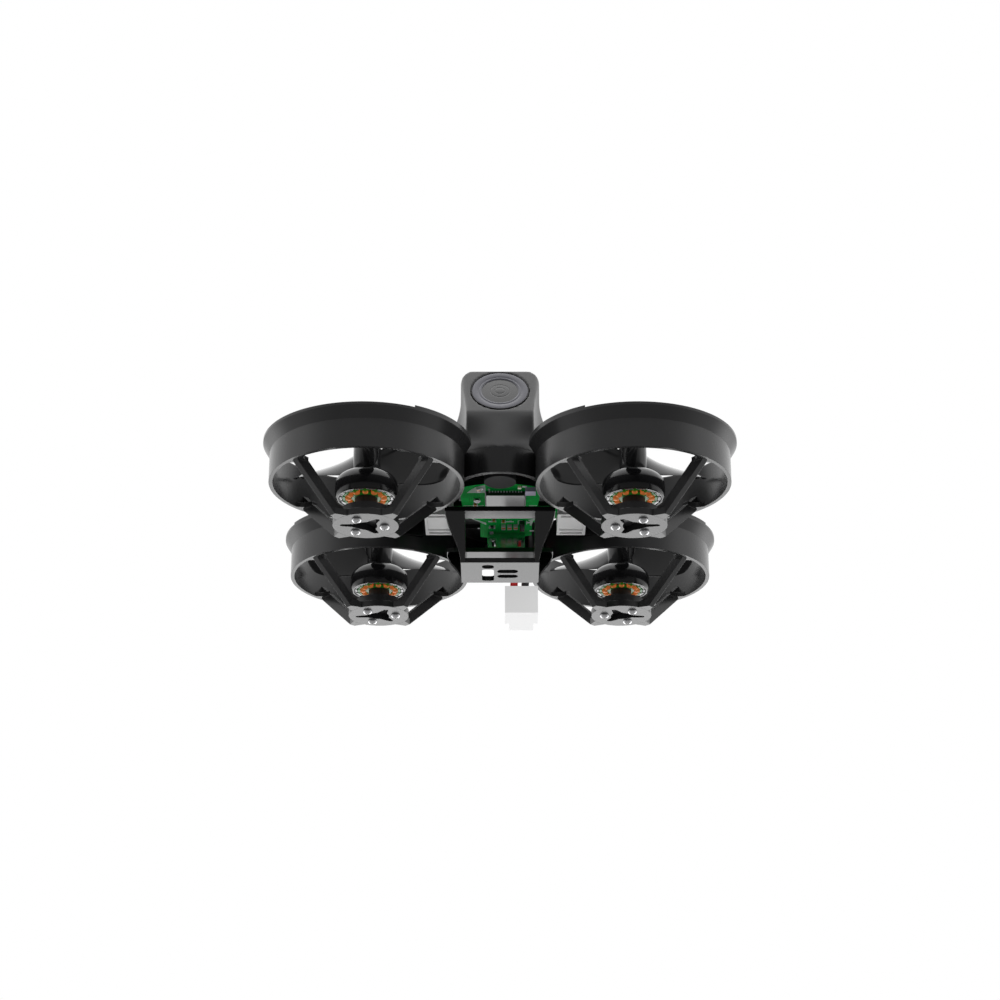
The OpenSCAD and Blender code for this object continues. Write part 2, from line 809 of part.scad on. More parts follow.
// Blade chord and twist at a distance from the axis
function blade_chord(r) = blade_chord_max * pow(1 - pow(abs(r - 8.5) / 7.3, 3.2), 0.5);
function blade_twist(r) = atan(prop_pitch / (2 * PI * r));
blade_stations = [1.9, 2.8, 4, 5.5, 7, 8.5, 10, 11.5, 13, 14.3, prop_d / 2];
chord_steps = [-0.5, -0.25, 0, 0.25, 0.5];

// One point of the blade: across the chord u, on the upper or lower skin s
function blade_point(r, u, s) = let (c = blade_chord(r), b = blade_twist(r),
    w = u * c, h = s * blade_t / 2 * (1 - 1.4 * u * u) + 0.35 * (1 - 4 * u * u))
    [r, w * cos(b) - h * sin(b), blade_z + w * sin(b) + h * cos(b)];

function blade_ring(r) = concat([for (u = chord_steps) blade_point(r, u, -1)],
    [for (i = [4:-1:0]) blade_point(r, chord_steps[i], 1)]);

module blade() {
    n = 10;
    m = len(blade_stations);
    polyhedron(points = [for (r = blade_stations) each blade_ring(r)],
        faces = concat([[for (i = [0:n - 1]) i]], [[for (i = [n - 1:-1:0]) (m - 1) * n + i]],
            [for (k = [0:m - 2]) for (i = [0:n - 1]) [k * n + i, (k + 1) * n + i, k * n + (i + 1) % n]],
            [for (k = [0:m - 2]) for (i = [0:n - 1])
                [(k + 1) * n + i, (k + 1) * n + (i + 1) % n, k * n + (i + 1) % n]]));
}

// Three twisted blades on a hub, mirrored for the motors that turn the other way
module propeller(c) {
    hand = c[0] * c[1] > 0 ? 1 : -1;
    color([0.06, 0.06, 0.065]) at_corner(c) scale([hand, 1, 1]) rotate([0, 0, blade_turn])
        difference() {
            union() {
                translate([0, 0, bell_top_z]) cylinder(r = hub_r, h = hub_top_z - bell_top_z, $fn = 64);
                for (i = [0:blade_count - 1]) rotate([0, 0, i * 360 / blade_count]) scale([1, -1, 1]) blade();
            }
            translate([0, 0, 5]) cylinder(r = shaft_r, h = 20, $fn = 48);
        }
}

// ---------- battery lead ----------

function unit(v) = v / norm(v);
function cross_ring(p, d) = let (side = unit(cross(d, [1, 0, 0])), up = cross(side, d))
    [for (i = [0:wire_sides - 1]) let (a = 360 * i / wire_sides + 22.5)
        p + wire_d / 2 * (cos(a) * side + sin(a) * up)];
function route_dir(route, i) = unit(route[min(i + 1, len(route) - 1)] - route[max(i - 1, 0)]);

// Round tube along a route, closed at both ends
module swept_wire(route) {
    n = wire_sides;
    m = len(route);
    polyhedron(points = [for (i = [0:m - 1]) each cross_ring(route[i], i == m - 1 ? [0, 0, -1]
            : i == 0 ? [0, 1, 0] : route_dir(route, i))],
        faces = concat([[for (i = [0:n - 1]) i]], [[for (i = [n - 1:-1:0]) (m - 1) * n + i]],
            [for (k = [0:m - 2]) for (i = [0:n - 1]) [k * n + i, (k + 1) * n + i, k * n + (i + 1) % n]],
            [for (k = [0:m - 2]) for (i = [0:n - 1])
                [(k + 1) * n + i, (k + 1) * n + (i + 1) % n, k * n + (i + 1) % n]]));
}

module wire_red() {
    color([0.75, 0.03, 0.03]) swept_wire(wire_route);
}

module wire_black() {
    color([0.05, 0.05, 0.05]) swept_wire([for (p = wire_route) p + [wire_pitch, 0, 0]]);
}

module battery_plug() {
    y1 = plug_front_y + plug_len;
    color(white_nylon) difference() {
        union() {
            bar(plug_mid_x - plug_w / 2, plug_mid_x + plug_w / 2, plug_front_y, y1, plug_low_z,
                plug_low_z + plug_h);
            bar(plug_mid_x - nose_w / 2, plug_mid_x + nose_w / 2, y1 - mid, y1 + nose_len, plug_low_z,
                plug_low_z + nose_h);
        }
        for (s = [-1, 1]) contact_block(s, 0.6, y1 + nose_len - contact_depth, y1 + nose_len + 1);
    }
}

// Square prism about one of the two contacts
module contact_block(s, r, y0, y1) {
    x = plug_mid_x + s * wire_pitch / 2;
    z = plug_low_z + 2.2;
    bar(x - r, x + r, y0, y1, z - r, z + r);
}

module plug_contacts() {
    y1 = plug_front_y + plug_len + nose_len;
    color(steel) for (s = [-1, 1]) difference() {
        contact_block(s, 0.6, y1 - contact_depth, y1 - 0.5);
        contact_block(s, 0.4, y1 - 4, y1);
    }
}

// ---------- drawing ----------

// Lifts a piece so that the screw heads touch the resting plane
module standing() {
    translate([0, 0, head_h]) children();
}

standing() frame_body();
standing() battery_cradle();
standing() duct(FRONT_LEFT);  // duct_front_left
standing() duct(FRONT_RIGHT);  // duct_front_right
standing() duct(REAR_LEFT);  // duct_rear_left
standing() duct(REAR_RIGHT);  // duct_rear_right
standing() duct_struts();
standing() motor_mounts();
standing() canopy();
standing() canopy_screws();
standing() board_grommets();
standing() flight_board();
standing() processor_chip();
standing() gyro_chip();
standing() speed_controller_mosfets();
standing() ceramic_capacitors();
standing() chip_resistors();
standing() crystal_can();
standing() status_led();
standing() regulator_chip();
standing() usb_shell();
standing() usb_tongue();
standing() motor_socket_left();
standing() motor_socket_right();
standing() motor_socket_pins();
standing() boot_switch_housing();
standing() boot_button();
standing() camera_board();
standing() camera_body();
standing() lens_barrel();
standing() lens_bezel();
standing() lens_glass();
standing() motor_bases();
standing() motor_bearings();
standing() motor_stators();
standing() stator_insulators();
standing() stator_windings();
standing() motor_screws();
standing() bell(FRONT_LEFT);  // bell_front_left
standing() bell(FRONT_RIGHT);  // bell_front_right
standing() bell(REAR_LEFT);  // bell_rear_left
standing() bell(REAR_RIGHT);  // bell_rear_right
standing() magnets(FRONT_LEFT);  // magnets_front_left
standing() magnets(FRONT_RIGHT);  // magnets_front_right
standing() magnets(REAR_LEFT);  // magnets_rear_left
standing() magnets(REAR_RIGHT);  // magnets_rear_right
standing() shaft(FRONT_LEFT);  // shaft_front_left
standing() shaft(FRONT_RIGHT);  // shaft_front_right
standing() shaft(REAR_LEFT);  // shaft_rear_left
standing() shaft(REAR_RIGHT);  // shaft_rear_right
standing() propeller(FRONT_LEFT);  // propeller_front_left
standing() propeller(FRONT_RIGHT);  // propeller_front_right
standing() propeller(REAR_LEFT);  // propeller_rear_left
standing() propeller(REAR_RIGHT);  // propeller_rear_right
standing() wire_red();
standing() wire_black();
standing() battery_plug();
standing() plug_contacts();
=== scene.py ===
import json
import math

import bpy
import numpy as np
from mathutils import Matrix, Vector


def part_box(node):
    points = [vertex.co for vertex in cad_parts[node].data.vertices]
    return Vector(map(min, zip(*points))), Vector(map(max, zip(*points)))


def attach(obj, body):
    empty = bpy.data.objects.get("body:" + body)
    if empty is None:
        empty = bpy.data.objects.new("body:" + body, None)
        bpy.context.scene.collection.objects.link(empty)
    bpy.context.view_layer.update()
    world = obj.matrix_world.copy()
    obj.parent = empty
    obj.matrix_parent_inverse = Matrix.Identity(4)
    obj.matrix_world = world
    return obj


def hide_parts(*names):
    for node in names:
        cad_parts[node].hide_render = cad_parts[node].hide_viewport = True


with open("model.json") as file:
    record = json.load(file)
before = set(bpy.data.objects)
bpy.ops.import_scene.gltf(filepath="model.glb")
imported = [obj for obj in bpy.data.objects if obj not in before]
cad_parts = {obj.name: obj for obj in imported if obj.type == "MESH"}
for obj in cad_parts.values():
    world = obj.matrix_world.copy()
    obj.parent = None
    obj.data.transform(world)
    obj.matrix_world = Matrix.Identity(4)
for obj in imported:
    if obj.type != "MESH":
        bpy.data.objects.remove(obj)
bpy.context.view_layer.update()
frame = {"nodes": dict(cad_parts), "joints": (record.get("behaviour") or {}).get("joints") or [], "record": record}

# Looks of a small ducted quadcopter with its flight controller board, seen from below.
# Blender works in metres in the frame of the CAD model. Small shapes are given in mm, with heights from
# the motor mounts; MM and LIFT bring them into that frame.
MM = 0.001
CORNERS = ("front_left", "front_right", "rear_left", "rear_right")
SPIN = {j["child"]: Vector(j["pos_m"]) for j in frame["joints"] if j["name"].startswith("spin_")}
AXES = {corner: Vector((SPIN["rotor_" + corner].x, SPIN["rotor_" + corner].y, 0)) for corner in CORNERS}
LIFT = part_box("motor_mounts")[0][2]
BOARD_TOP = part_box("flight_board")[1][2]
AIRFRAME = "airframe"


# ---------- camera, floor and light ----------

CAMERA_PITCH = math.radians(22.37)
CAMERA_DISTANCE = 0.43087
CAMERA_AIM = 0.01449  # height above the motor mounts of the point it looks at
FOCAL_MM, SENSOR_MM = 83.66, 36


def make_camera():
    """Looks up at the object from in front and below."""
    target = Vector((0, 0, CAMERA_AIM + LIFT))
    ahead = Vector((0, math.cos(CAMERA_PITCH), math.sin(CAMERA_PITCH)))
    data = bpy.data.cameras.new("camera")
    data.lens = FOCAL_MM
    data.sensor_width = SENSOR_MM
    camera = bpy.data.objects.new("camera", data)
    camera.location = target - CAMERA_DISTANCE * ahead
    camera.rotation_euler = (math.pi / 2 + CAMERA_PITCH, 0, 0)
    bpy.context.scene.collection.objects.link(camera)
    bpy.context.scene.camera = camera


def make_floor():
    """Plain pale floor well below the camera."""
    size, depth = 6.0, -0.45
    paint, light, light_share = (0.85, 0.85, 0.85, 1), (0.5, 0.5, 0.5, 1), 0.6
    corners = [(x * size, y * size, depth) for x, y in ((-1, -1), (1, -1), (1, 1), (-1, 1))]
    mesh = bpy.data.meshes.new("floor")
    mesh.from_pydata(corners, [], [(0, 1, 2, 3)])
    floor = bpy.data.objects.new("floor", mesh)
    bpy.context.scene.collection.objects.link(floor)
    material = bpy.data.materials.new("floor")
    material.use_nodes = True
    tree = material.node_tree
    tree.nodes.clear()
    output = tree.nodes.new("ShaderNodeOutputMaterial")
    mix = tree.nodes.new("ShaderNodeMixShader")
    matte = tree.nodes.new("ShaderNodeBsdfDiffuse")
    glow = tree.nodes.new("ShaderNodeEmission")
    matte.inputs["Color"].default_value = paint
    glow.inputs["Color"].default_value = light
    mix.inputs["Fac"].default_value = light_share
    tree.links.new(matte.outputs[0], mix.inputs[1])
    tree.links.new(glow.outputs[0], mix.inputs[2])
    tree.links.new(mix.outputs[0], output.inputs["Surface"])
    mesh.materials.append(material)
    floor.visible_glossy = False
    floor.visible_diffuse = False
    floor.visible_transmission = False


def make_world():
    """White surroundings: a bright band low behind, bright above, dark ahead and below."""
    world = bpy.data.worlds.new("studio")
    bpy.context.scene.world = world
    world.use_nodes = True
    tree = world.node_tree
    tree.nodes.clear()
    link = tree.links.new
    output = tree.nodes.new("ShaderNodeOutputWorld")
    backdrop = tree.nodes.new("ShaderNodeBackground")
    studio = tree.nodes.new("ShaderNodeBackground")
    mix = tree.nodes.new("ShaderNodeMixShader")
    path = tree.nodes.new("ShaderNodeLightPath")
    coords = tree.nodes.new("ShaderNodeTexCoord")
    split = tree.nodes.new("ShaderNodeSeparateXYZ")
    link(coords.outputs["Generated"], split.inputs[0])
    # Brightness against the height of the direction, from straight down (0) to straight up (1)
    steps = {
        "ahead": ((0.0, 0.4), (0.15, 0.28), (0.35, 0.2), (0.6, 0.16), (0.72, 0.36), (0.81, 0.75),
                  (0.96, 1.9)),
        "beside": ((0.0, 0.4), (0.15, 0.4), (0.35, 0.7), (0.5, 1.0), (0.7, 1.0), (0.9, 1.7),
                   (1.0, 1.9)),
        "behind": ((0.0, 0.4), (0.16, 0.5), (0.25, 1.9), (0.31, 2.4), (0.42, 2.2), (0.55, 1.0),
                   (1.0, 1.9)),
    }
    brightest = 3.0
    ramps = {}
    for name, stops in steps.items():
        place = tree.nodes.new("ShaderNodeMapRange")
        place.inputs["From Min"].default_value = -1
        link(split.outputs["Z"], place.inputs["Value"])
        ramp = tree.nodes.new("ShaderNodeValToRGB")
        link(place.outputs[0], ramp.inputs[0])
        ramp.color_ramp.interpolation = "EASE"
        while len(ramp.color_ramp.elements) < len(stops):
            ramp.color_ramp.elements.new(0.5)
        for element, (spot, level) in zip(ramp.color_ramp.elements, stops):
            element.position = spot
            element.color = (level / brightest,) * 3 + (1,)
        ramps[name] = ramp

    def fade(start, end, first, second):
        side = tree.nodes.new("ShaderNodeMapRange")
        side.interpolation_type = "SMOOTHSTEP"
        side.inputs["From Min"].default_value = start
        side.inputs["From Max"].default_value = end
        link(split.outputs["Y"], side.inputs["Value"])
        blend = tree.nodes.new("ShaderNodeMix")
        blend.data_type = "RGBA"
        link(side.outputs[0], blend.inputs["Factor"])
        link(first, blend.inputs[6])
        link(second, blend.inputs[7])
        return blend.outputs[2]

    # Where "ahead" gives way to "beside", and "beside" to "behind", against the Y of the direction
    ahead_ends, behind_starts = (-0.75, -0.15), (0.1, 0.6)
    front = fade(*ahead_ends, ramps["ahead"].outputs[0], ramps["beside"].outputs[0])
    link(fade(*behind_starts, front, ramps["behind"].outputs[0]), studio.inputs["Color"])
    studio.inputs["Strength"].default_value = brightest
    backdrop.inputs["Color"].default_value = (1, 1, 1, 1)
    link(path.outputs["Is Camera Ray"], mix.inputs["Fac"])
    link(studio.outputs[0], mix.inputs[1])
    link(backdrop.outputs[0], mix.inputs[2])
    link(mix.outputs[0], output.inputs["Surface"])


# ---------- materials ----------

def surface(name, colour, rough, grain=0.15, bump=0.0, tint=0.12, spread=0.05, edge=0.0, **sockets):
    """Procedural finish. grain is the size of the fine texture, bump its height and edge the rounding of
    edges, all in mm; tint and spread are how far colour and roughness vary."""
    patch_grains, patch_detail, grain_detail, least_rough = 20, 3, 2, 0.02
    material = bpy.data.materials.new(name)
    material.use_nodes = True
    tree = material.node_tree
    link = tree.links.new
    shader = tree.nodes["Principled BSDF"]
    for socket, value in sockets.items():
        shader.inputs[socket.replace("_", " ")].default_value = value
    coords = tree.nodes.new("ShaderNodeTexCoord")

    def noise(size, detail):
        node = tree.nodes.new("ShaderNodeTexNoise")
        node.inputs["Scale"].default_value = 1 / (size * MM)
        node.inputs["Detail"].default_value = detail
        link(coords.outputs["Object"], node.inputs["Vector"])
        return node

    coarse, fine = noise(grain * patch_grains, patch_detail), noise(grain, grain_detail)
    mix = tree.nodes.new("ShaderNodeMix")
    mix.data_type = "RGBA"
    mix.name = "colour"
    link(coarse.outputs["Fac"], mix.inputs["Factor"])
    mix.inputs[6].default_value = tuple(c * (1 - tint) for c in colour) + (1,)
    mix.inputs[7].default_value = tuple(min(1, c * (1 + tint)) for c in colour) + (1,)
    link(mix.outputs[2], shader.inputs["Base Color"])
    shine = tree.nodes.new("ShaderNodeMapRange")
    shine.inputs["To Min"].default_value = max(least_rough, rough - spread)
    shine.inputs["To Max"].default_value = rough + spread
    link(fine.outputs["Fac"], shine.inputs["Value"])
    link(shine.outputs[0], shader.inputs["Roughness"])
    normal = None
    if edge:
        rounding = tree.nodes.new("ShaderNodeBevel")
        rounding.samples = 4
        rounding.inputs["Radius"].default_value = edge * MM
        normal = rounding.outputs[0]
        link(normal, shader.inputs["Normal"])
    if bump:
        relief = tree.nodes.new("ShaderNodeBump")
        relief.inputs["Distance"].default_value = bump * MM
        relief.inputs["Strength"].default_value = 1
        link(fine.outputs["Fac"], relief.inputs["Height"])
        if normal:
            link(normal, relief.inputs["Normal"])
        link(relief.outputs[0], shader.inputs["Normal"])
    return material


def printed_board(name):
    """Green solder mask with lighter tracks; its upright edges are near-black, painted shade for the recess under
    the bridge.
    """
    mask, track_colour, edge_shade = (0.0, 0.46, 0.065), (0.005, 0.6, 0.1, 1), (0.01, 0.02, 0.012, 1)
    cell = 3.2 * MM
    track_step, track_start, track_end = 0.06, 0.036, 0.042  # in cells
    material = surface(name, mask, 0.6, 0.3, 0.001, edge=0.05, Specular_IOR_Level=0.05)
    tree = material.node_tree
    link = tree.links.new
    shader = tree.nodes["Principled BSDF"]
    coords = tree.nodes.new("ShaderNodeTexCoord")
    cells = tree.nodes.new("ShaderNodeTexVoronoi")
    cells.distance = "CHEBYCHEV"
    cells.inputs["Scale"].default_value = 1 / cell
    link(coords.outputs["Object"], cells.inputs["Vector"])
    tracks = tree.nodes.new("ShaderNodeMath")
    tracks.operation = "PINGPONG"
    tracks.inputs[1].default_value = track_step
    link(cells.outputs["Distance"], tracks.inputs[0])
    edge = tree.nodes.new("ShaderNodeMapRange")
    edge.inputs["From Min"].default_value = track_start
    edge.inputs["From Max"].default_value = track_end
    link(tracks.outputs[0], edge.inputs["Value"])
    lines = tree.nodes.new("ShaderNodeMix")
    lines.data_type = "RGBA"
    link(edge.outputs[0], lines.inputs["Factor"])
    link(tree.nodes["colour"].outputs[2], lines.inputs[6])
    lines.inputs[7].default_value = track_colour
    split = tree.nodes.new("ShaderNodeSeparateXYZ")
    link(coords.outputs["Normal"], split.inputs[0])
    flat = tree.nodes.new("ShaderNodeMath")
    flat.operation = "ABSOLUTE"
    link(split.outputs["Z"], flat.inputs[0])
    # Upright faces blend to near-black: painted shade for the dark recess under the bridge
    side = tree.nodes.new("ShaderNodeMix")
    side.data_type = "RGBA"
    link(flat.outputs[0], side.inputs["Factor"])
    side.inputs[6].default_value = edge_shade
    link(lines.outputs[2], side.inputs[7])
    link(side.outputs[2], shader.inputs["Base Color"])
    return material


MATERIALS = {
    # This first finish is the gloss black made darker: painted shade for the frame body and battery cradle, which
    # sit in shade under the canopy and bridge
    "frame_black_shaded": surface("frame_black_shaded", (0.01, 0.01, 0.0105), 0.25, 0.2, 0.0006, edge=0.14),
    "gloss_black": surface("gloss_black", (0.032, 0.032, 0.033), 0.25, 0.2, 0.0006, edge=0.14),
    "canopy_black": surface("canopy_black", (0.055, 0.055, 0.056), 0.33, 0.12, 0.0012),
    "steel": surface("steel", (0.66, 0.66, 0.68), 0.2, 0.1, 0.0008, edge=0.05, Metallic=1.0),
    "rubber": surface("rubber", (0.028, 0.028, 0.029), 0.6, 0.1, 0.003, edge=0.15),
    "circuit_board": printed_board("circuit_board"),
    "chip_black": surface("chip_black", (0.02, 0.02, 0.021), 0.16, 0.05, 0.0008, edge=0.06),
    "capacitor": surface("capacitor", (0.62, 0.24, 0.04), 0.4, 0.05, edge=0.04),
    "led": surface("led", (0.85, 0.8, 0.5), 0.2, 0.05, edge=0.05),
    # The white nylon glows: its emission is painted light that brightens the plug as if lit from below
    "white_nylon": surface("white_nylon", (0.6, 0.6, 0.6), 0.5, 0.15, 0.001, tint=0.02, edge=0.08,
                           Emission_Color=(1, 1, 1, 1), Emission_Strength=0.5),
    "socket_nylon": surface("socket_nylon", (0.8, 0.8, 0.795), 0.4, 0.15, 0.001, tint=0.03, edge=0.12),
    "board_print": surface("board_print", (0.6, 0.78, 0.66), 0.6, 0.1, tint=0.05),
    "screw_steel": surface("screw_steel", (0.62, 0.62, 0.63), 0.16, 0.05, 0.0004, Metallic=1.0),
    "tin": surface("tin", (0.72, 0.72, 0.75), 0.5, 0.08, 0.001, tint=0.15, edge=0.03, Metallic=0.3),
    "crystal": surface("crystal", (0.5, 0.46, 0.62), 0.4, 0.1, 0.0008, tint=0.15, edge=0.1, Metallic=0.3),
    # Dome and window are grey, not near-black: partly the coating's tint, partly painted reflection of the bright
    # sky on the glass
    "lens_dome": surface("lens_dome", (0.065, 0.065, 0.066), 0.14, 0.3, 0.0002),
    "camera_black": surface("camera_black", (0.02, 0.02, 0.021), 0.35, 0.1, 0.0005),
    "lens_glass": surface("lens_glass", (0.1, 0.1, 0.122), 0.16, 0.3, 0.0002),
    "motor_base": surface("motor_base", (0.03, 0.03, 0.031), 0.35, 0.08, 0.0005, edge=0.1),
    "laminations": surface("laminations", (0.2, 0.2, 0.21), 0.4, 0.05, Metallic=1.0),
    # The green insulator glows a little: painted light standing in for light that does not reach inside the motor
    # bell
    "insulator_green": surface("insulator_green", (0.01, 0.28, 0.015), 0.3, 0.05, 0.0005,
                               Emission_Color=(0.01, 0.3, 0.02, 1), Emission_Strength=0.12),
    # The copper glows a little: painted light that lifts the coils, which sit in shade inside the bell
    "copper": surface("copper", (0.85, 0.3, 0.08), 0.35, 0.05, 0.0005, Metallic=0.3,
                      Emission_Color=(0.8, 0.25, 0.06, 1), Emission_Strength=0.2),
    "bell_black": surface("bell_black", (0.012, 0.012, 0.013), 0.14, 0.1, 0.0002),
    "magnet": surface("magnet", (0.75, 0.75, 0.76), 0.4, 0.05, 0.0005, edge=0.05, Metallic=0.4),
    "blade_black": surface("blade_black", (0.03, 0.03, 0.031), 0.1, 0.15, 0.0005, edge=0.05),
    "silicone_red": surface("silicone_red", (0.75, 0.005, 0.005), 0.4, 0.1, 0.0005),
    "silicone_black": surface("silicone_black", (0.015, 0.015, 0.015), 0.4, 0.1, 0.0005),
}

SLOT_OF_NODE = {s["node"]: s["material_slot"] for s in frame["record"]["subparts"]}
# Nodes whose finish differs from that of their slot; frame_body and battery_cradle take a darker copy of the gloss
# black, painted shade for the shade under the canopy and bridge
FINISH_AND_SHADE_OF_NODE = {"motor_socket_left": "socket_nylon", "motor_socket_right": "socket_nylon",
                  "crystal_can": "crystal", "frame_body": "frame_black_shaded", "battery_cradle": "frame_black_shaded"}


def paint_cad_nodes():
    for node, piece in frame["nodes"].items():
        piece.data.materials.clear()
        piece.data.materials.append(MATERIALS[FINISH_AND_SHADE_OF_NODE.get(node, SLOT_OF_NODE[node])])


# ---------- mesh helpers; every size in them is in mm ----------

def add_piece(name, points, faces, material, body, slot, replaces=(), sharp=35):
    """Makes a mesh piece, rides it on its body and hides what it stands for. sharp is the angle in
    degrees from which an edge is shaded sharp, or 0 for none."""
    mesh = bpy.data.meshes.new(name)
    places = np.asarray(points, dtype=float) * MM + np.array([0, 0, LIFT])
    mesh.from_pydata(places.tolist(), [], [tuple(int(i) for i in face) for face in faces])
    mesh.shade_smooth()
    if sharp:
        mesh.set_sharp_from_angle(angle=math.radians(sharp))
    piece = bpy.data.objects.new(name, mesh)
    bpy.context.scene.collection.objects.link(piece)
    mesh.materials.append(material)
    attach(piece, body)
    if replaces:
        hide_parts(*replaces)
    return piece


def join(parts):
    """One list of points and one of faces from several."""
    points, faces = [], []
    for part_points, part_faces in parts:
        faces += [[i + len(points) for i in face] for face in part_faces]
        points += [tuple(p) for p in part_points]
    return points, faces


def moved(part, shift=(0, 0, 0), turn=0.0, flip=1):
    """The same part mirrored in X if flip is -1, turned about Z in degrees, then shifted."""
    points, faces = part
    points = np.asarray(points, dtype=float) * (flip, 1, 1)
    c, s = math.cos(math.radians(turn)), math.sin(math.radians(turn))
    points = points @ np.array([[c, s, 0], [-s, c, 0], [0, 0, 1]]) + np.asarray(shift, dtype=float)
    if flip < 0:
        faces = [face[::-1] for face in faces]
    return points.tolist(), faces


def lathe(profile, steps=96):
    """Solid of revolution about Z. The profile is (radius, height) from the axis round to the axis,
    anticlockwise seen with the radius to the right."""
    points, rings, faces = [], [], []
    for r, z in profile:
        if r < 1e-6:
            rings.append([len(points)] * steps)
            points.append((0, 0, z))
        else:
            rings.append(list(range(len(points), len(points) + steps)))
            points += [(r * math.cos(2 * math.pi * k / steps), r * math.sin(2 * math.pi * k / steps), z)
                       for k in range(steps)]
    pairs = list(zip(rings, rings[1:]))
    if profile[0][0] > 1e-6:
        pairs.append((rings[-1], rings[0]))
    for low, high in pairs:
        for k in range(steps):
            n = (k + 1) % steps
            face = [low[k], low[n], high[n], high[k]]
            face = [i for spot, i in enumerate(face) if i != face[spot - 1]]
            if len(face) > 2:
                faces.append(face)
    return points, faces


def arc(centre, r, start, end, steps):
    """Points along an arc between two angles in degrees."""
    angles = np.radians(np.linspace(start, end, steps + 1))
    return [(centre[0] + r * math.cos(a), centre[1] + r * math.sin(a)) for a in angles]


def block(x0, x1, y0, y1, z0, z1, cut=0.0):
    """Box with its upright edges and its top and bottom edges chamfered by cut."""
    def ring(inset, z):
        a, b, c, d = x0 + inset, x1 - inset, y0 + inset, y1 - inset
        return [(a + cut, c, z), (b - cut, c, z), (b, c + cut, z), (b, d - cut, z),
                (b - cut, d, z), (a + cut, d, z), (a, d - cut, z), (a, c + cut, z)]

    rings = [ring(cut, z0), ring(0, z0 + cut), ring(0, z1 - cut), ring(cut, z1)]
    return loft(rings)


def loft(rings, closed=False):
    """Skin over rings of equally many points, each anticlockwise seen against the way they follow."""
    n = len(rings[0])
    points = [tuple(p) for ring in rings for p in ring]
    faces = []
    count = len(rings)
    for k in range(count if closed else count - 1):
        a, b = k * n, (k + 1) % count * n
        faces += [[a + i, a + (i + 1) % n, b + (i + 1) % n, b + i] for i in range(n)]
    if not closed:
        faces += [list(range(n))[::-1], [(count - 1) * n + i for i in range(n)]]
    return points, faces


def plate(outline, z0, z1):
    """Flat plate from an anticlockwise outline."""
    return loft([[(x, y, z0) for x, y in outline], [(x, y, z1) for x, y in outline]])


def solid_boxes(node):
    """Boxes in mm of the separate solids in a CAD node, with heights from the motor mounts."""
    mesh = frame["nodes"][node].data
    places = np.empty(len(mesh.vertices) * 3)
    mesh.vertices.foreach_get("co", places)
    places = places.reshape(-1, 3)
    keys, same_place = {}, 0.002 * MM
    weld = [keys.setdefault(tuple(p), len(keys)) for p in np.round(places / same_place).astype(int)]
    root = list(range(len(keys)))

    def find(i):
        while root[i] != i:
            root[i] = root[root[i]]
            i = root[i]
        return i

    for face in mesh.polygons:
        first = find(weld[face.vertices[0]])
        for vertex in face.vertices[1:]:
            root[find(weld[vertex])] = first
    groups = {}
    for vertex, key in enumerate(weld):
        groups.setdefault(find(key), []).append(vertex)
    boxes = [(places[g].min(0), places[g].max(0)) for g in groups.values()]
    shift = np.array([0, 0, LIFT])
    return [((low - shift) / MM, (high - shift) / MM) for low, high in boxes]


def surface_net(field, low, high, cell):
    """Smooth mesh of the surface where field is zero; it is negative inside."""
    low = np.asarray(low, dtype=float)
    axes = [np.arange(a, b + cell, cell) for a, b in zip(low, high)]
    value = field(*np.meshgrid(*axes, indexing="ij"))
    inside = value < 0
    size = np.array(value.shape)
    total = np.zeros(tuple(size - 1) + (3,))
    count = np.zeros(tuple(size - 1))
    crossings = []
    for axis in range(3):
        here = tuple(slice(0, -1) if k == axis else slice(None) for k in range(3))
        there = tuple(slice(1, None) if k == axis else slice(None) for k in range(3))
        cross = inside[here] != inside[there]
        where = np.argwhere(cross)
        spot = where.astype(float)
        spot[:, axis] += (value[here] / (value[here] - value[there] + 1e-12))[cross]
        u, v = (axis + 1) % 3, (axis + 2) % 3
        for du, dv in ((0, 0), (1, 0), (1, 1), (0, 1)):
            around = where.copy()
            around[:, u] -= du
            around[:, v] -= dv
            valid = ((around >= 0) & (around < size - 1)).all(1)
            np.add.at(total, tuple(around[valid].T), spot[valid])
            np.add.at(count, tuple(around[valid].T), 1)
        crossings.append((axis, where, inside[here][cross]))
    active = count > 0
    index = np.full(active.shape, -1)
    index[active] = np.arange(active.sum())
    points = total[active] / count[active][:, None] * cell + low
    faces = []
    for axis, where, outward in crossings:
        u, v = (axis + 1) % 3, (axis + 2) % 3
        keep = ((where[:, [u, v]] > 0) & (where[:, [u, v]] < size[[u, v]] - 1)).all(1)
        where, outward = where[keep], outward[keep]
        quad = []
        for du, dv in ((0, 0), (1, 0), (1, 1), (0, 1)):
            around = where.copy()
            around[:, u] -= du
            around[:, v] -= dv
            quad.append(index[tuple(around.T)])
        quad = np.stack(quad, 1)
        quad[~outward] = quad[~outward][:, ::-1]
        faces += quad.tolist()
    return points, faces


# ---------- canopy ----------

